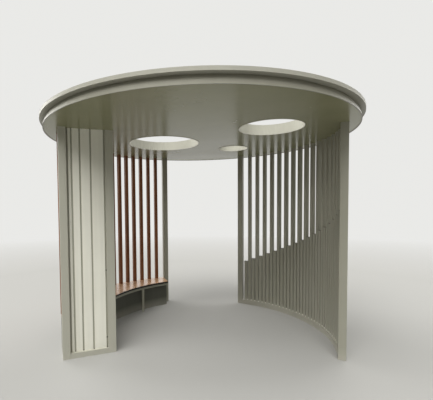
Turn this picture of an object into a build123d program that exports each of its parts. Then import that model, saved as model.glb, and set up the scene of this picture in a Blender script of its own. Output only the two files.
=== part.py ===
from build123d import *
from math import cos, radians, sin
import os

# Round garden pergola: a flat round roof on two curved slat screens, with a
# panelled wing wall and a curved bench on the left side of the front opening.
# Millimetres. The origin is on the ground under the centre of the roof, the
# front opening looks along -Y and +Z is up. Angles are degrees from +X.

# Curved screens: slats and posts stand on one circle round the origin
SCREEN_RADIUS = 1660.0
SLAT_WIDTH = 50.0
POST_WIDTH = 80.0
EDGE_CHAMFER_WIDTH = 2.0

# Roof
CEILING_HEIGHT = 2520.0
ROOF_OVERHANG = 155.0
LIP_PROJECTION = 30.0
LIP_HEIGHT = 32.0
LIP_WIDTH = 60.0
COVE_HEIGHT = 79.0
COVE_DEPTH = 30.0
COVE_ARC_RADIUS = 200.0
RIM_WIDTH = 9.0
RIM_DROP = 3.0
PANEL_THICKNESS = 5.0
DECK_LEDGE = 20.0
SEAT_CLEARANCE = 0.3

# Round roof openings: name, centre x, centre y, clear radius
ROOF_OPENINGS = (
    ("large", -423.0, 299.0, 466.0),
    ("medium", 766.0, -554.0, 347.0),
    ("small", 593.0, 664.0, 203.0),
)
RING_WALL = 6.0
RING_UPSTAND = 33.0

# Joists between the ceiling and the deck: three long ones clear of the openings, and
# the y of the short ones on the left and right of the middle one
JOIST_WIDTH = 40.0
JOIST_SIDE_CLEARANCE = 80.0
SHORT_JOISTS_Y = ((-850.0, 1000.0), (-1150.0, 120.0))
JOIST_END_GAP = 25.0

# Left screen
LEFT_POST_ANGLE = 105.1
LEFT_FIRST_SLAT_ANGLE = 110.9
LEFT_SLAT_ANGLE_STEP = 4.75
LEFT_SLAT_COUNT = 18

# Right screen
BACK_POST_ANGLE = 58.3
FRONT_POST_ANGLE = -26.7
RIGHT_FIRST_SLAT_ANGLE = 52.6
RIGHT_SLAT_ANGLE_STEP = 4.6
RIGHT_SLAT_COUNT = 17
INFILL_FIRST_HEIGHT = 734.0
INFILL_RISE = 54.0
KICK_RAIL_HEIGHT = 70.0

# Bench: its front edge is the screen's circle moved inwards, deepest at the reach angle
BENCH_HEIGHT = 420.0
BENCH_REACH = 445.0
BENCH_REACH_ANGLE = 158.1
BENCH_BACK_MARGIN = 5.0
SEAT_THICKNESS = 28.0
SEAT_NOSE = 6.0
SEAT_NOSE_BEVEL = 3.0
SHADOW_GAP = 7.0
PACKER_DEPTH = 12.0
BENCH_RIM_WIDTH = 40.0
BENCH_RIM_HEIGHT = 28.0
KICK_PANEL_RECESS = 100.0
KICK_PANEL_THICKNESS = 3.0
BENCH_LEG_WIDTH = 40.0
BENCH_LEG_DEPTH = 12.0
BENCH_LEG_INSET = 0.5
BENCH_LEG_COUNT = 3
BENCH_FIRST_LEG_ANGLE = 136.0
BENCH_LEG_ANGLE_STEP = 24.3

# Wing wall: where its outer front corner is, and the way it runs from there
WING_CORNER_ANGLE = 203.1
WING_CORNER_MARGIN = 8.5
WING_ANGLE = 19.8
WING_LENGTH = 583.0
WING_THICKNESS = 150.0
LEFT_STILE_WIDTH = 80.0
RIGHT_STILE_WIDTH = 92.0
BOTTOM_RAIL_HEIGHT = 60.0
REVEAL_WIDTH = 46.0
REVEAL_STRIP_WIDTH = 27.0
BOARD_WIDTH_RATIO = 1.35
BOARD_COUNT = 3
BOARD_GAP = 17.0
BOARD_THICKNESS = 18.0
BOARD_RECESS_LEFT = 42.0
BOARD_RECESS_RIGHT = 14.0
BACKING_THICKNESS = 12.0
BACK_SKIN_THICKNESS = 4.0

os.makedirs("parts", exist_ok=True)


def write(part, name):
    part.label = name
    export_step(part, f"parts/{name}.step")


def radial_direction(angle):
    return (cos(radians(angle)), sin(radians(angle)), 0)


def tangent_direction(angle):
    return (-sin(radians(angle)), cos(radians(angle)), 0)


def post_side(angle, side):
    """Plane of a post's side face, looking away from the post: side is 1 or -1."""
    along = radial_direction(angle)
    away = Vector(*tangent_direction(angle)) * side
    return Plane(origin=away * (POST_WIDTH / 2), x_dir=along, z_dir=away)


# Roof: coved band, lip ring on it, ceiling panel in it and deck on its top ledge
ceiling_radius = SCREEN_RADIUS + ROOF_OVERHANG
lip_radius = ceiling_radius + LIP_PROJECTION
lip_inner = lip_radius - LIP_WIDTH
cove_inner = lip_inner - DECK_LEDGE
cove_bottom = CEILING_HEIGHT - RIM_DROP
cove_top = CEILING_HEIGHT + COVE_HEIGHT
panel_radius = ceiling_radius - RIM_WIDTH
panel_top = CEILING_HEIGHT + PANEL_THICKNESS

with BuildPart() as fascia_cove:
    with BuildSketch(Plane.XZ):
        with BuildLine():
            Polyline(
                (ceiling_radius - COVE_DEPTH, cove_top),
                (cove_inner, cove_top),
                (cove_inner, panel_top),
                (panel_radius, panel_top),
                (panel_radius, cove_bottom),
                (ceiling_radius, cove_bottom),
            )
            RadiusArc(
                (ceiling_radius, cove_bottom),
                (ceiling_radius - COVE_DEPTH, cove_top),
                -COVE_ARC_RADIUS,
            )
        make_face()
    revolve(axis=Axis.Z)
write(fascia_cove.part, "fascia_cove")

with BuildPart() as fascia_lip:
    with BuildSketch(Plane.XY.offset(cove_top)):
        Circle(lip_radius)
        Circle(lip_inner, mode=Mode.SUBTRACT)
    extrude(amount=LIP_HEIGHT)
write(fascia_lip.part, "fascia_lip")


def round_sheet(radius, bottom):
    """Round sheet with a hole for each roof opening's ring."""
    with BuildPart() as sheet:
        with BuildSketch(Plane.XY.offset(bottom)):
            Circle(radius)
            for _, x, y, clear in ROOF_OPENINGS:
                with Locations((x, y)):
                    Circle(clear + RING_WALL + SEAT_CLEARANCE, mode=Mode.SUBTRACT)
        extrude(amount=PANEL_THICKNESS)
    return sheet.part


write(round_sheet(panel_radius - SEAT_CLEARANCE, CEILING_HEIGHT), "ceiling_panel")
write(round_sheet(lip_inner - SEAT_CLEARANCE, cove_top), "roof_deck")

ring_top = cove_top + PANEL_THICKNESS + RING_UPSTAND
for name, x, y, clear in ROOF_OPENINGS:
    with BuildPart() as ring:
        with BuildSketch(Plane.XY.offset(cove_bottom)):
            with Locations((x, y)):
                Circle(clear + RING_WALL)
                Circle(clear, mode=Mode.SUBTRACT)
        extrude(amount=ring_top - cove_bottom)
    write(ring.part, f"opening_ring_{name}")

# The large opening is in the left bay and the others are in the right bay
opening_lefts = [x - clear - RING_WALL for _, x, _, clear in ROOF_OPENINGS]
opening_rights = [x + clear + RING_WALL for _, x, _, clear in ROOF_OPENINGS]
joist_distance = JOIST_SIDE_CLEARANCE + JOIST_WIDTH / 2
joist_end_radius = cove_inner - JOIST_END_GAP
long_joists_x = (
    min(opening_lefts) - joist_distance,
    (opening_rights[0] + min(opening_lefts[1:])) / 2,
    max(opening_rights) + joist_distance,
)
with BuildPart() as joists:
    with BuildSketch(Plane.XY.offset(panel_top)):
        for x in long_joists_x:
            half_length = (joist_end_radius**2 - (abs(x) + JOIST_WIDTH / 2) ** 2) ** 0.5
            with Locations((x, 0)):
                Rectangle(JOIST_WIDTH, 2 * half_length)
        for bay, (left, right) in enumerate(zip(long_joists_x, long_joists_x[1:])):
            span = right - left - JOIST_WIDTH - 2 * SEAT_CLEARANCE
            for y in SHORT_JOISTS_Y[bay]:
                with Locations(((left + right) / 2, y)):
                    Rectangle(span, JOIST_WIDTH)
    extrude(amount=cove_top - panel_top)
write(joists.part, "roof_joists")

# Posts
def post(angle):
    with BuildPart() as square_post:
        with BuildSketch() as section:
            with PolarLocations(SCREEN_RADIUS, 1, start_angle=angle):
                Rectangle(POST_WIDTH, POST_WIDTH)
            chamfer(section.vertices(), EDGE_CHAMFER_WIDTH)
        extrude(amount=CEILING_HEIGHT)
    return square_post.part


write(post(LEFT_POST_ANGLE), "left_end_post")
write(post(BACK_POST_ANGLE), "right_back_post")
write(post(FRONT_POST_ANGLE), "right_front_post")


def slat_row(count, first_angle, pitch, foot):
    """Slats from their foot up to the ceiling, one every pitch degrees."""
    with BuildPart() as row:
        with BuildSketch(Plane.XY.offset(foot)) as sections:
            with PolarLocations(
                SCREEN_RADIUS,
                count,
                start_angle=first_angle,
                angular_range=pitch * (count - 1),
                endpoint=True,
            ):
                Rectangle(SLAT_WIDTH, SLAT_WIDTH)
            chamfer(sections.vertices(), EDGE_CHAMFER_WIDTH)
        extrude(amount=CEILING_HEIGHT - foot)
    return row.part


# Right screen: kick rail as wide as the posts, tall slats on it, infill slats between
with BuildPart() as kick_rail:
    with BuildSketch():
        Circle(SCREEN_RADIUS + POST_WIDTH / 2)
        Circle(SCREEN_RADIUS - POST_WIDTH / 2, mode=Mode.SUBTRACT)
    extrude(amount=KICK_RAIL_HEIGHT)
    split(bisect_by=post_side(BACK_POST_ANGLE, -1), keep=Keep.TOP)
    split(bisect_by=post_side(FRONT_POST_ANGLE, 1), keep=Keep.TOP)
write(kick_rail.part, "right_kick_rail")

write(
    slat_row(RIGHT_SLAT_COUNT, RIGHT_FIRST_SLAT_ANGLE, -RIGHT_SLAT_ANGLE_STEP, KICK_RAIL_HEIGHT),
    "right_tall_slats",
)

with BuildPart() as infill_slats:
    for i in range(RIGHT_SLAT_COUNT + 1):
        angle = RIGHT_FIRST_SLAT_ANGLE + (0.5 - i) * RIGHT_SLAT_ANGLE_STEP
        top = INFILL_FIRST_HEIGHT + INFILL_RISE * i
        with BuildSketch(Plane.XY.offset(KICK_RAIL_HEIGHT)) as section:
            with PolarLocations(SCREEN_RADIUS, 1, start_angle=angle):
                Rectangle(SLAT_WIDTH, SLAT_WIDTH)
            chamfer(section.vertices(), EDGE_CHAMFER_WIDTH)
        extrude(amount=top - KICK_RAIL_HEIGHT)
write(infill_slats.part, "right_infill_slats")

# Wing wall, drawn in its own plane: x along the wall from its outer end, y into it
wing_corner = Vector(*radial_direction(WING_CORNER_ANGLE)) * (SCREEN_RADIUS + WING_CORNER_MARGIN)
wing_plane = Plane(
    origin=wing_corner,
    x_dir=radial_direction(WING_ANGLE),
    z_dir=(0, 0, 1),
)
wing_back = Plane(
    origin=wing_plane.from_local_coords((0, WING_THICKNESS, 0)),
    x_dir=radial_direction(WING_ANGLE),
    z_dir=tangent_direction(WING_ANGLE),
)
well_start = LEFT_STILE_WIDTH + REVEAL_WIDTH
well_end = WING_LENGTH - RIGHT_STILE_WIDTH
skin_front = WING_THICKNESS - BACK_SKIN_THICKNESS


def wing_section(distance):
    """Plane across the wing wall at a distance from its outer end."""
    return Plane(
        origin=wing_plane.from_local_coords((distance, 0, 0)),
        x_dir=tangent_direction(WING_ANGLE),
        z_dir=radial_direction(WING_ANGLE),
    )


def wing_block(start, end, front, back, bottom, top, edge=0):
    with BuildPart() as block:
        with BuildSketch(wing_plane.offset(bottom)) as section:
            with Locations(((start + end) / 2, (front + back) / 2)):
                Rectangle(end - start, back - front)
            if edge:
                chamfer(section.vertices(), edge)
        extrude(amount=top - bottom)
    return block.part


def wing_stile(start, end):
    return wing_block(
        start, end, 0, WING_THICKNESS, 0, CEILING_HEIGHT, edge=EDGE_CHAMFER_WIDTH
    )


write(wing_stile(0, LEFT_STILE_WIDTH), "wing_left_stile")
write(wing_stile(well_end, WING_LENGTH), "wing_right_stile")
write(
    wing_block(LEFT_STILE_WIDTH, well_end, 0, skin_front, 0, BOTTOM_RAIL_HEIGHT),
    "wing_bottom_rail",
)
write(
    wing_block(LEFT_STILE_WIDTH, well_end, skin_front, WING_THICKNESS, 0, CEILING_HEIGHT),
    "wing_back_skin",
)

# The boards stand on the bottom rail along a line that comes forward to the right
board_foot = wing_plane.from_local_coords((well_start, BOARD_RECESS_LEFT, BOTTOM_RAIL_HEIGHT))
board_end = wing_plane.from_local_coords((well_end, BOARD_RECESS_RIGHT, BOTTOM_RAIL_HEIGHT))
board_plane = Plane(origin=board_foot, x_dir=board_end - board_foot, z_dir=(0, 0, 1))
board_run = (board_end - board_foot).length
board_height = CEILING_HEIGHT - BOTTOM_RAIL_HEIGHT

# Each board is wider than the one before it, with an even gap on both sides of each
boards_total = board_run - (BOARD_COUNT + 1) * BOARD_GAP
first_share = (BOARD_WIDTH_RATIO - 1) / (BOARD_WIDTH_RATIO**BOARD_COUNT - 1)
board_start = BOARD_GAP
board_width = boards_total * first_share


def wing_board(start, width):
    with BuildPart() as board:
        with BuildSketch(board_plane) as section:
            with Locations((start, 0)):
                Rectangle(width, BOARD_THICKNESS, align=(Align.MIN, Align.MIN))
            chamfer(section.vertices(), EDGE_CHAMFER_WIDTH)
        extrude(amount=board_height)
    return board.part


for i in range(BOARD_COUNT):
    write(wing_board(board_start, board_width), f"wing_board_{i + 1}")
    board_start += board_width + BOARD_GAP
    board_width *= BOARD_WIDTH_RATIO

# A narrow strip stands before the first board, in the shade of the left stile
write(wing_board(-REVEAL_STRIP_WIDTH, REVEAL_STRIP_WIDTH), "wing_reveal")

with BuildPart() as backing:
    with BuildSketch(board_plane):
        with Locations((board_run / 2, BOARD_THICKNESS)):
            Rectangle(WING_LENGTH, BACKING_THICKNESS, align=(Align.CENTER, Align.MIN))
    extrude(amount=board_height)
    split(bisect_by=wing_section(LEFT_STILE_WIDTH), keep=Keep.TOP)
    split(bisect_by=wing_section(well_end), keep=Keep.BOTTOM)
write(backing.part, "wing_backing")

# Bench between the left end post and the back of the wing wall
bench_front_centre = Vector(*radial_direction(BENCH_REACH_ANGLE)) * -BENCH_REACH
bench_back_radius = SCREEN_RADIUS + SLAT_WIDTH / 2 + BENCH_BACK_MARGIN
seat_bottom = BENCH_HEIGHT - SEAT_THICKNESS
rim_top = seat_bottom - SHADOW_GAP
rim_bottom = rim_top - BENCH_RIM_HEIGHT
rim_radius = SCREEN_RADIUS + SEAT_NOSE
kick_radius = rim_radius + KICK_PANEL_RECESS


def disc(radius, centre=(0, 0)):
    with BuildSketch() as sketch:
        with Locations(centre):
            Circle(radius)
    return sketch.sketch


def front_disc(radius):
    return disc(radius, bench_front_centre)


def bench_piece(outline, bottom, top, inset=0):
    """Extrude an outline and cut it at the end post, the wing wall and the wall's outer end."""
    with BuildPart() as piece:
        with BuildSketch(Plane.XY.offset(bottom)):
            add(outline)
        extrude(amount=top - bottom)
        split(bisect_by=post_side(LEFT_POST_ANGLE, 1).offset(inset), keep=Keep.TOP)
        split(bisect_by=wing_section(inset), keep=Keep.TOP)
        split(bisect_by=wing_back, keep=Keep.TOP)
    return piece.part


with BuildPart() as bench_seat:
    seat_outline = disc(bench_back_radius) - front_disc(SCREEN_RADIUS)
    add(bench_piece(seat_outline, seat_bottom, BENCH_HEIGHT))
    top_edges = bench_seat.faces().sort_by(Axis.Z)[-1].edges().filter_by(GeomType.CIRCLE)
    chamfer(top_edges.sort_by(SortBy.RADIUS)[0], SEAT_NOSE_BEVEL)
write(bench_seat.part, "bench_seat")

rim_outline = front_disc(rim_radius + BENCH_RIM_WIDTH) - front_disc(rim_radius)
write(bench_piece(rim_outline, rim_bottom, rim_top), "bench_front_rim")


def bench_sheet(outer, inner, hollow_outer, hollow_inner):
    """Sheet under the seat: an outline less a hollow set in from the cut ends."""
    with BuildPart() as sheet:
        add(bench_piece(outer - inner, 0, seat_bottom))
        add(
            bench_piece(hollow_outer - hollow_inner, 0, seat_bottom, KICK_PANEL_THICKNESS),
            mode=Mode.SUBTRACT,
        )
    return sheet.part


# Both sheets turn along the cut ends, and they meet beside the end post
kick_panel = bench_sheet(
    disc(SCREEN_RADIUS),
    front_disc(kick_radius),
    disc(bench_back_radius),
    front_disc(kick_radius + KICK_PANEL_THICKNESS),
)
write(kick_panel, "bench_kick_panel")
back_panel = bench_sheet(
    disc(bench_back_radius),
    disc(SCREEN_RADIUS),
    disc(bench_back_radius - KICK_PANEL_THICKNESS),
    disc(SCREEN_RADIUS - POST_WIDTH / 2),
)
write(back_panel, "bench_back_panel")


def leg_blocks(front_radius, depth, bottom, top):
    """A block at each leg, its front face on a circle about the front edge's centre."""
    with BuildPart() as blocks:
        with BuildSketch(Plane.XY.offset(bottom)):
            with Locations(bench_front_centre):
                with PolarLocations(
                    front_radius,
                    BENCH_LEG_COUNT,
                    start_angle=BENCH_FIRST_LEG_ANGLE,
                    angular_range=BENCH_LEG_ANGLE_STEP * (BENCH_LEG_COUNT - 1),
                    endpoint=True,
                ):
                    Rectangle(depth, BENCH_LEG_WIDTH, align=(Align.MIN, Align.CENTER))
        extrude(amount=top - bottom)
    return blocks.part


write(leg_blocks(rim_radius + BENCH_LEG_INSET, BENCH_LEG_DEPTH, 0, rim_bottom), "bench_legs")
packer_front = rim_radius + (BENCH_RIM_WIDTH - PACKER_DEPTH) / 2
write(leg_blocks(packer_front, PACKER_DEPTH, rim_top, seat_bottom), "bench_packer")

write(
    slat_row(LEFT_SLAT_COUNT, LEFT_FIRST_SLAT_ANGLE, LEFT_SLAT_ANGLE_STEP, BENCH_HEIGHT),
    "left_slats",
)
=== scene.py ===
from math import atan2, cos, radians, sin

import bmesh
import bpy
from mathutils import Matrix, Vector


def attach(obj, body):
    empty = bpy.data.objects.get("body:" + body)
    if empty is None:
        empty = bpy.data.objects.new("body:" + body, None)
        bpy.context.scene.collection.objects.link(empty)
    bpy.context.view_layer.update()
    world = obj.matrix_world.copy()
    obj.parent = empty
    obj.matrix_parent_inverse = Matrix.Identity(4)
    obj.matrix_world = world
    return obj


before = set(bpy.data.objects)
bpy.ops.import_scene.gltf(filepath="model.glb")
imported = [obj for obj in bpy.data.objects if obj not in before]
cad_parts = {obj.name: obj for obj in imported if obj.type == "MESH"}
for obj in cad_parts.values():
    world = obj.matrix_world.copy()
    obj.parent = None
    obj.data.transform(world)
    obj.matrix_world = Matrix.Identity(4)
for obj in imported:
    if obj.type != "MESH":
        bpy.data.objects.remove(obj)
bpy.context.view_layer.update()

# Camera, as it stood for the photograph: metres, degrees and pixels; the sensor in millimetres
PHOTO_WIDTH = 433
PHOTO_HEIGHT = 400
CAMERA_PLACE = (-0.377, -4.137, 1.631)
CAMERA_YAW = -1.24
CAMERA_PITCH_DOWN = 2.42
CAMERA_ROLL = -0.55
FOCAL_PIXELS = 323.9
CENTRE_PIXEL = (175.2, 223.0)
SENSOR_WIDTH = 36.0

# Wide soft lamps: name, strength, spread, azimuth from the front towards the right side, and
# height above the ground, the last three in degrees
LAMP_COLOUR = (1.0, 1.0, 0.98)
LAMPS = (
    ("key", 3.1, 52.0, -34.0, 54.0),
    ("sky_front", 0.75, 60.0, 15.0, 40.0),
    ("sky_left", 1.6, 40.0, -125.0, 30.0),
    ("sky_right", 1.2, 50.0, 130.0, 40.0),
    ("fill_back", 0.8, 80.0, 180.0, 35.0),
)

# Colours, linear
GREIGE = (0.35, 0.342, 0.276)
GREIGE_LIGHT = (0.38, 0.37, 0.306)
# Paler greige near the ground: part dust, part painted light on the lower parts
GREIGE_DUST_AND_LIGHT = (0.53, 0.51, 0.44)
# The lip's greige is the frame's paint made lighter: painted light on the lip's fully lit face
LIT_LIP_GREIGE = (0.465, 0.455, 0.388)
LIT_LIP_GREIGE_PALE = (0.505, 0.495, 0.423)
# The cove's greige is the frame's paint made darker: painted shade where the lip shades the
# cove
SHADED_COVE_GREIGE = (0.30, 0.29, 0.235)
SHADED_COVE_GREIGE_PALE = (0.33, 0.32, 0.26)
WING_GREIGE = (0.48, 0.47, 0.395)
WING_GREIGE_LIGHT = (0.52, 0.51, 0.43)
# The ceiling's greige is the frame's paint made darker and greener: painted shade, as the
# ceiling looks lit only by light thrown back from below
SHADED_CEILING_GREIGE = (0.295, 0.292, 0.168)
SHADED_CEILING_PALE = (0.32, 0.315, 0.188)
CREAM = (0.90, 0.885, 0.78)
CREAM_DUST = (0.825, 0.81, 0.71)
# The rings' cream is lighter than the frame's paint: painted light, for the sky light that
# falls through the openings onto their inner walls
LIT_RING_CREAM = (0.56, 0.55, 0.47)
LIT_RING_CREAM_PALE = (0.60, 0.59, 0.505)
SLAT_BROWN = (0.33, 0.128, 0.046)
SLAT_BROWN_DARK = (0.155, 0.055, 0.021)
SEAT_BROWN = (0.62, 0.37, 0.205)
SEAT_BROWN_DARK = (0.36, 0.20, 0.11)
SEAT_EDGE = (0.018, 0.013, 0.009)
# The kick panel's dark green-grey is the frame's greige made dark: painted shade under the
# seat
SHADED_PANEL_GREEN = (0.11, 0.112, 0.09)
SHADED_PANEL_GREEN_PALE = (0.125, 0.127, 0.104)
CAP_GREY = (0.045, 0.045, 0.039)
CAP_GREY_LIGHT = (0.07, 0.07, 0.06)
# Pale blocks between the slat feet: painted light where outside light falls through the gaps
# onto the kick rail
LIGHT_SPOT_PALE = (0.72, 0.71, 0.66)
LIGHT_SPOT_DULL = (0.64, 0.63, 0.57)
FLOOR_PALE = (0.40, 0.395, 0.38)
FLOOR_SHADE = (0.24, 0.237, 0.227)
SURROUND_PALE = (0.82, 0.82, 0.80)
SHADE_LIGHT = (0.05, 0.05, 0.047)

# Painted metal. A range is the part of a noise that a change runs over, a step is how much
# rougher the paint gets, a share is how much shows at most, and depths are in metres.
BLOTCH_SCALE = 1.7
RAIN_SCALE = (14.0, 14.0, 0.6)
DRY_SCALE = (2.5, 2.5, 2.5)
WORN_RANGE = (0.18, 0.40)
SHEEN_RANGE = (0.15, 0.4)
SHEEN_STEP = 0.06
# How high and how strongly the paler tone near the ground shows: part dust, part painted light
DUST_AND_LIGHT_HEIGHT = 0.14
DUST_AND_LIGHT_SHARE = 0.9
PEEL_SCALE = 420.0
PEEL_DEPTH = 0.00004
CEILING_PEEL_DEPTH = 0.000005
WAVE_SCALE = (0.8, 3.5, 1.0)
CEILING_WAVE_DEPTH = 0.0007

# Wood, in the same terms. The bench's grain follows an arc of this radius in metres.
UPRIGHT_GRAIN_SCALE = (55.0, 55.0, 1.6)
ARC_RADIUS = 1.45
ARC_SCALE_ACROSS = 38.0
ARC_SCALE_ALONG = 2.2
BAND_RANGE = (0.33, 0.68)
PORE_SCALE = 7.0
PORE_RANGE = (0.55, 0.75)
PORE_SHARE = 0.45
PORE_ROUGH_RANGE = (0.3, 0.7)
PORE_ROUGH_STEP = 0.12
PORE_DEPTH = 0.0006
PORE_STRENGTH = 0.6
UPRIGHT_FACE_RANGE = (0.2, 0.6)

# Floor, in metres. It fades into the surroundings between these two distances.
FLOOR_RADIUS = 60.0
FLOOR_SEGMENTS = 96
FLOOR_FADE = (6.0, 16.0)

# Small trim, in metres
SLAT_WIDTH = 0.05
CAP_HEIGHT = 0.004
CAP_EDGE = 0.0015
CAP_EDGE_SEGMENTS = 2
# Pale blocks of painted light on the kick rail
LIGHT_SPOT_HEIGHT = 0.016
LIGHT_SPOT_DEPTH = 0.02
LIGHT_SPOT_INSET = 0.001
BOARD_GAP = 0.017
CLIP_HEIGHT = 0.008
CLIP_DEPTH = 0.004
CLIP_RECESS = 0.006
HIGH_CLIPS = (0.18, 0.95)

# Corner points of a CAD mesh that are nearer than this, in metres, are one point
SAME_POINT = 1e-5

# Socket numbers of a Mix node that mixes colours, whose sockets share their names
MIX_FACTOR = 0
MIX_FIRST = 6
MIX_SECOND = 7
MIX_RESULT = 2


def opaque(colour):
    """Adds the fourth value that a colour socket wants; a link stays as it is."""
    return colour if isinstance(colour, bpy.types.NodeSocket) else (*colour, 1.0)


class Graph:
    """Short names for building a material's node tree."""

    def __init__(self, name):
        self.material = bpy.data.materials.new(name)
        self.material.use_nodes = True
        self.tree = self.material.node_tree
        self.tree.nodes.clear()

    def node(self, kind, inputs=None, **settings):
        made = self.tree.nodes.new(kind)
        for key, value in settings.items():
            setattr(made, key, value)
        for key, value in (inputs or {}).items():
            if isinstance(value, bpy.types.NodeSocket):
                self.tree.links.new(value, made.inputs[key])
            else:
                made.inputs[key].default_value = value
        return made

    def place(self):
        return self.node("ShaderNodeTexCoord").outputs["Object"]

    def stretched(self, vector, scale):
        return self.node(
            "ShaderNodeMapping", {"Vector": vector, "Scale": scale}
        ).outputs["Vector"]

    def parts(self, vector):
        """The vector's X, Y and Z."""
        outputs = self.node("ShaderNodeSeparateXYZ", {"Vector": vector}).outputs
        return [outputs[axis] for axis in "XYZ"]

    def noise(self, vector, scale, detail=3.0, roughness=0.5, distortion=0.0):
        return self.node(
            "ShaderNodeTexNoise",
            {
                "Vector": vector,
                "Scale": scale,
                "Detail": detail,
                "Roughness": roughness,
                "Distortion": distortion,
            },
        ).outputs["Fac"]

    def math(self, operation, first, second):
        return self.node(
            "ShaderNodeMath", {0: first, 1: second}, operation=operation
        ).outputs[0]

    def spread(self, value, low, high, out_low=0.0, out_high=1.0):
        """Maps a value's range to another, held at both ends."""
        return self.node(
            "ShaderNodeMapRange",
            {
                "Value": value,
                "From Min": low,
                "From Max": high,
                "To Min": out_low,
                "To Max": out_high,
            },
        ).outputs["Result"]

    def mix(self, factor, first, second):
        inputs = {MIX_FACTOR: factor, MIX_FIRST: opaque(first), MIX_SECOND: opaque(second)}
        return self.node("ShaderNodeMix", inputs, data_type="RGBA").outputs[MIX_RESULT]

    def bump(self, height, distance, strength=1.0, normal=None):
        inputs = {"Height": height, "Distance": distance, "Strength": strength}
        if normal is not None:
            inputs["Normal"] = normal
        return self.node("ShaderNodeBump", inputs).outputs["Normal"]

    def finish(self, shader):
        self.node("ShaderNodeOutputMaterial", {"Surface": shader})
        return self.material

    def finish_surface(self, colour, roughness, specular, normal):
        shader = self.node(
            "ShaderNodeBsdfPrincipled",
            {
                "Base Color": colour,
                "Roughness": roughness,
                "Specular IOR Level": specular,
                "Normal": normal,
            },
        )
        return self.finish(shader.outputs["BSDF"])


class WorldGraph(Graph):
    """The same short names for the surroundings."""

    def __init__(self, world):
        world.use_nodes = True
        self.tree = world.node_tree
        self.tree.nodes.clear()

    def finish(self, shader):
        self.node("ShaderNodeOutputWorld", {"Surface": shader})


def seen_directly(graph):
    """One where a ray shows the surroundings as a picture, and zero where it only lights."""
    path = graph.node("ShaderNodeLightPath").outputs
    seen = graph.math("MAXIMUM", path["Is Camera Ray"], path["Is Glossy Ray"])
    return graph.math("MAXIMUM", seen, path["Is Transmission Ray"])


def painted_metal(
    name, paint, worn, roughness=0.4, specular=0.2, waves=0.0, peel=PEEL_DEPTH, rain=True
):
    """Satin paint on sheet or tube: faint blotches, rain streaks, and a paler tone near the
    ground that is part dust and part painted light.

    waves and peel are the depths of the sheet's waviness and of the paint's orange peel.
    """
    graph = Graph(name)
    place = graph.place()
    blotches = graph.noise(place, BLOTCH_SCALE, detail=4.0)
    streak_scale = RAIN_SCALE if rain else DRY_SCALE
    streaks = graph.noise(graph.stretched(place, streak_scale), 1.0, detail=4.0)
    marks = graph.math("MULTIPLY", blotches, streaks)
    colour = graph.mix(graph.spread(marks, *WORN_RANGE), paint, worn)
    _, _, height = graph.parts(place)
    # Paler towards the ground: part dust, part painted light
    near_ground = graph.spread(height, 0.0, DUST_AND_LIGHT_HEIGHT, 1.0, 0.0)
    dust_and_light = graph.math("MULTIPLY", near_ground, blotches)
    colour = graph.mix(graph.math("MULTIPLY", dust_and_light, DUST_AND_LIGHT_SHARE), colour, GREIGE_DUST_AND_LIGHT)
    normal = graph.bump(graph.noise(place, PEEL_SCALE, detail=1.0), peel)
    if waves:
        swell = graph.noise(graph.stretched(place, WAVE_SCALE), 1.0, detail=0.0)
        normal = graph.bump(swell, waves, normal=normal)
    dulled = graph.spread(marks, *SHEEN_RANGE, roughness, roughness + SHEEN_STEP)
    return graph.finish_surface(colour, dulled, specular, normal)


def wood_grain(name, light, dark, grain, roughness, specular, edge=None):
    """Wood grain from a vector stretched along the board; edge colours its upright faces."""
    graph = Graph(name)
    fibres = grain(graph)
    bands = graph.noise(fibres, 1.0, detail=5.0, roughness=0.62, distortion=0.35)
    pores = graph.noise(fibres, PORE_SCALE, detail=3.0, roughness=0.7)
    colour = graph.mix(graph.spread(bands, *BAND_RANGE), dark, light)
    colour = graph.mix(graph.spread(pores, *PORE_RANGE, 0.0, PORE_SHARE), colour, dark)
    if edge:
        normal = graph.node("ShaderNodeNewGeometry").outputs["Normal"]
        _, _, facing_up = graph.parts(normal)
        colour = graph.mix(graph.spread(facing_up, *UPRIGHT_FACE_RANGE), edge, colour)
    dulled = graph.spread(pores, *PORE_ROUGH_RANGE, roughness, roughness + PORE_ROUGH_STEP)
    return graph.finish_surface(
        colour, dulled, specular, graph.bump(pores, PORE_DEPTH, PORE_STRENGTH)
    )


def upright_grain(graph):
    return graph.stretched(graph.place(), UPRIGHT_GRAIN_SCALE)


def arc_grain(graph):
    """Grain that runs round the bench: radius across it, and distance along the arc."""
    x, y, z = graph.parts(graph.place())
    square = graph.math("ADD", graph.math("MULTIPLY", x, x), graph.math("MULTIPLY", y, y))
    radius = graph.math("POWER", square, 0.5)
    angle = graph.math("ARCTAN2", y, graph.math("MULTIPLY", x, -1.0))
    along = graph.math("MULTIPLY", angle, ARC_RADIUS)
    joined = graph.node(
        "ShaderNodeCombineXYZ",
        {
            "X": graph.math("MULTIPLY", radius, ARC_SCALE_ACROSS),
            "Y": graph.math("MULTIPLY", along, ARC_SCALE_ALONG),
            "Z": graph.math("MULTIPLY", z, ARC_SCALE_ACROSS),
        },
    )
    return joined.outputs["Vector"]


def floor_finish(name):
    """Pale floor that runs out into the surroundings; what light it throws back is duller."""
    graph = Graph(name)
    seen = seen_directly(graph)
    distance = graph.node(
        "ShaderNodeVectorMath", {0: graph.place()}, operation="LENGTH"
    ).outputs["Value"]
    colour = graph.mix(seen, FLOOR_SHADE, FLOOR_PALE)
    near = graph.node("ShaderNodeBsdfDiffuse", {"Color": colour})
    far = graph.node("ShaderNodeEmission", {"Color": opaque(SURROUND_PALE)})
    faded = graph.math("MULTIPLY", graph.spread(distance, *FLOOR_FADE), seen)
    both = graph.node(
        "ShaderNodeMixShader", {0: faded, 1: near.outputs["BSDF"], 2: far.outputs["Emission"]}
    )
    return graph.finish(both.outputs["Shader"])


def nodes_named(*starts):
    return sorted(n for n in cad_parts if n.startswith(starts))


def paint_nodes(material, *starts):
    """Gives the material to the CAD nodes whose names start so."""
    for name in nodes_named(*starts):
        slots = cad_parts[name].data.materials
        slots.clear()
        slots.append(material)


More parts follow.
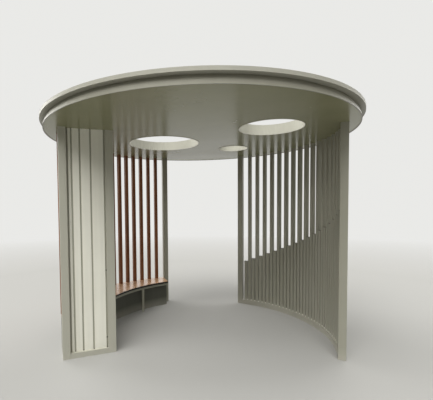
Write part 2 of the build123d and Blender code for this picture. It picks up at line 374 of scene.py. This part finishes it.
frame_paint = painted_metal("frame_paint", GREIGE, GREIGE_LIGHT)
# Painted light: the lip gets a lighter copy of the frame's paint
lit_lip_paint = painted_metal("lit_lip_paint", LIT_LIP_GREIGE, LIT_LIP_GREIGE_PALE)
# Painted shade: the cove gets a darker copy of the frame's paint
shaded_cove_paint = painted_metal("shaded_cove_paint", SHADED_COVE_GREIGE, SHADED_COVE_GREIGE_PALE)
board_paint = painted_metal("board_paint", CREAM, CREAM_DUST, roughness=0.45)
wing_paint = painted_metal("wing_paint", WING_GREIGE, WING_GREIGE_LIGHT)
# Painted light: the rings get a lighter paint than the frame
lit_ring_paint = painted_metal(
    "lit_ring_paint", LIT_RING_CREAM, LIT_RING_CREAM_PALE, roughness=0.45, rain=False
)
# Painted shade: the ceiling gets a darker, greener copy of the frame's paint
ceiling_paint = painted_metal(
    "ceiling_paint",
    SHADED_CEILING_GREIGE,
    SHADED_CEILING_PALE,
    roughness=0.22,
    specular=0.3,
    waves=CEILING_WAVE_DEPTH,
    peel=CEILING_PEEL_DEPTH,
    rain=False,
)
sheet_paint = painted_metal("sheet_paint", GREIGE, GREIGE_LIGHT, roughness=0.6)
# Painted shade: the kick, back and packer panels get a dark copy of the frame's paint
shaded_panel_paint = painted_metal(
    "shaded_panel_paint", SHADED_PANEL_GREEN, SHADED_PANEL_GREEN_PALE, roughness=0.5, specular=0.25
)
slat_wood = wood_grain(
    "slat_wood", SLAT_BROWN, SLAT_BROWN_DARK, upright_grain, roughness=0.4, specular=0.3
)
seat_wood = wood_grain(
    "seat_wood",
    SEAT_BROWN,
    SEAT_BROWN_DARK,
    arc_grain,
    roughness=0.22,
    specular=0.5,
    edge=SEAT_EDGE,
)
cap_plastic = painted_metal(
    "cap_plastic", CAP_GREY, CAP_GREY_LIGHT, roughness=0.5, specular=0.3
)
# Painted light: the colour of the pale blocks on the kick rail
painted_light_spots = painted_metal(
    "painted_light_spots", LIGHT_SPOT_PALE, LIGHT_SPOT_DULL, roughness=0.5, rain=False
)

paint_nodes(frame_paint, "left_end_post", "right_", "bench_front_rim", "bench_legs")
paint_nodes(wing_paint, "wing_")
paint_nodes(board_paint, "wing_board_", "wing_reveal")
paint_nodes(lit_ring_paint, "opening_ring_")
paint_nodes(sheet_paint, "roof_")
paint_nodes(shaded_panel_paint, "bench_kick_panel", "bench_back_panel", "bench_packer")
paint_nodes(lit_lip_paint, "fascia_lip")
paint_nodes(shaded_cove_paint, "fascia_cove")
paint_nodes(ceiling_paint, "ceiling_panel")
paint_nodes(slat_wood, "left_slats")
paint_nodes(seat_wood, "bench_seat")


def mesh_object(name, build, material):
    work = bmesh.new()
    build(work)
    mesh = bpy.data.meshes.new(name)
    work.to_mesh(mesh)
    work.free()
    mesh.materials.append(material)
    made = bpy.data.objects.new(name, mesh)
    bpy.context.scene.collection.objects.link(made)
    return made


def add_block(work, centre, towards, size):
    """A block whose first side points the way that towards does, seen from above."""
    turn = Matrix.Rotation(atan2(towards.y, towards.x), 4, "Z")
    placed = Matrix.Translation(centre) @ turn @ Matrix.Diagonal((*size, 1.0))
    return bmesh.ops.create_cube(work, size=1.0, matrix=placed)["verts"]


def loose_parts(node):
    """The corner points of each separate solid of a CAD node."""
    work = bmesh.new()
    work.from_mesh(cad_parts[node].data)
    bmesh.ops.remove_doubles(work, verts=work.verts, dist=SAME_POINT)
    seen = set()
    parts = []
    for start in work.verts:
        if start in seen:
            continue
        seen.add(start)
        part = [start]
        for vertex in part:
            for edge in vertex.link_edges:
                other = edge.other_vert(vertex)
                if other not in seen:
                    seen.add(other)
                    part.append(other)
        parts.append([v.co.copy() for v in part])
    work.free()
    return parts


def middle_of(points):
    return sum(points, Vector()) / len(points)


def raised(height):
    return Vector((0, 0, height))


def build_caps(work):
    """A dark cap on each infill slat."""
    for points in loose_parts("right_infill_slats"):
        middle = middle_of(points)
        top = max(p.z for p in points)
        centre = Vector((middle.x, middle.y, top + CAP_HEIGHT / 2))
        corners = add_block(work, centre, middle, (SLAT_WIDTH, SLAT_WIDTH, CAP_HEIGHT))
        edges = dict.fromkeys(e for v in corners for e in v.link_edges)
        bmesh.ops.bevel(
            work,
            geom=list(edges),
            offset=CAP_EDGE,
            segments=CAP_EDGE_SEGMENTS,
            affect="EDGES",
        )


def slat_feet(*nodes):
    """Middle of every slat's foot, in order round the screen."""
    feet = []
    for node in nodes:
        for points in loose_parts(node):
            middle = middle_of(points)
            feet.append(Vector((middle.x, middle.y, min(p.z for p in points))))
    return sorted(feet, key=lambda foot: atan2(foot.y, foot.x))


def build_light_spots(work):
    """A pale block on the kick rail in each gap between neighbouring slats: painted light
    where light from outside falls through the gap onto the rail.
    """
    feet = slat_feet("right_tall_slats", "right_infill_slats")
    inwards = SLAT_WIDTH / 2 - LIGHT_SPOT_INSET - LIGHT_SPOT_DEPTH / 2
    for first, second in zip(feet, feet[1:]):
        middle = (first + second) / 2
        outwards = Vector((middle.x, middle.y, 0)).normalized()
        gap = (second - first).length - SLAT_WIDTH
        centre = middle - outwards * inwards + raised(LIGHT_SPOT_HEIGHT / 2)
        add_block(work, centre, outwards, (LIGHT_SPOT_DEPTH, gap, LIGHT_SPOT_HEIGHT))


def build_clips(work):
    """Dark clips in the wing wall's gaps: one at each foot, two higher by the right stile."""
    boards = [loose_parts(node)[0] for node in nodes_named("wing_board_")]
    along = (middle_of(boards[-1]) - middle_of(boards[0])).normalized()
    forwards = Vector((along.y, -along.x, 0))
    face = max(p.dot(forwards) for p in boards[0]) - CLIP_RECESS
    foot = min(p.z for p in boards[0]) + CLIP_HEIGHT / 2
    gap_ends = [min(p.dot(along) for p in points) for points in boards]
    gap_ends.append(max(p.dot(along) for p in boards[-1]) + BOARD_GAP)
    places = [(end, foot) for end in gap_ends]
    places += [(gap_ends[-1], height) for height in HIGH_CLIPS]
    for end, height in places:
        centre = along * (end - BOARD_GAP / 2) + forwards * face + raised(height)
        add_block(work, centre, along, (BOARD_GAP, CLIP_DEPTH, CLIP_HEIGHT))


def build_floor(work):
    bmesh.ops.create_circle(
        work, cap_ends=True, segments=FLOOR_SEGMENTS, radius=FLOOR_RADIUS
    )


infill_caps = mesh_object("infill_caps", build_caps, cap_plastic)
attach(infill_caps, "root")

# Painted light on the kick rail, as pale blocks in the gaps between slat feet
rail_light_spots = mesh_object("rail_light_spots", build_light_spots, painted_light_spots)
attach(rail_light_spots, "root")

board_clips = mesh_object("board_clips", build_clips, cap_plastic)
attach(board_clips, "root")

floor = mesh_object("floor", build_floor, floor_finish("floor_pale"))


def add_lamp(name, strength, spread, azimuth, height):
    lamp = bpy.data.lights.new(name, "SUN")
    lamp.energy = strength
    lamp.color = LAMP_COLOUR
    lamp.angle = radians(spread)
    made = bpy.data.objects.new(name, lamp)
    a, e = radians(azimuth), radians(height)
    towards = Vector((sin(a) * cos(e), -cos(a) * cos(e), sin(e)))
    made.rotation_euler = towards.to_track_quat("Z", "Y").to_euler()
    bpy.context.scene.collection.objects.link(made)


def add_surroundings():
    """Pale to look at and in reflections, with only a little light of its own."""
    world = bpy.data.worlds.new("surroundings")
    graph = WorldGraph(world)
    colour = graph.mix(seen_directly(graph), SHADE_LIGHT, SURROUND_PALE)
    shader = graph.node("ShaderNodeBackground", {"Color": colour, "Strength": 1.0})
    graph.finish(shader.outputs["Background"])
    bpy.context.scene.world = world


def add_camera():
    yaw, pitch, roll = (
        radians(angle) for angle in (CAMERA_YAW, CAMERA_PITCH_DOWN, CAMERA_ROLL)
    )
    level_right = Vector((cos(yaw), sin(yaw), 0))
    level_forward = Vector((-sin(yaw), cos(yaw), 0))
    forward = level_forward * cos(pitch) - raised(sin(pitch))
    level_up = level_right.cross(forward)
    right = level_right * cos(roll) + level_up * sin(roll)
    up = level_up * cos(roll) - level_right * sin(roll)
    lens = bpy.data.cameras.new("camera")
    lens.sensor_width = SENSOR_WIDTH
    lens.sensor_fit = "HORIZONTAL"
    lens.lens = FOCAL_PIXELS / PHOTO_WIDTH * SENSOR_WIDTH
    lens.shift_x = (PHOTO_WIDTH / 2 - CENTRE_PIXEL[0]) / PHOTO_WIDTH
    lens.shift_y = (CENTRE_PIXEL[1] - PHOTO_HEIGHT / 2) / PHOTO_WIDTH
    made = bpy.data.objects.new("camera", lens)
    turned = Matrix((right, up, -forward)).transposed().to_4x4()
    made.matrix_world = Matrix.Translation(CAMERA_PLACE) @ turned
    bpy.context.scene.collection.objects.link(made)
    bpy.context.scene.camera = made


for lamp_values in LAMPS:
    add_lamp(*lamp_values)
add_surroundings()
add_camera()
bpy.context.scene.view_settings.view_transform = "Standard"
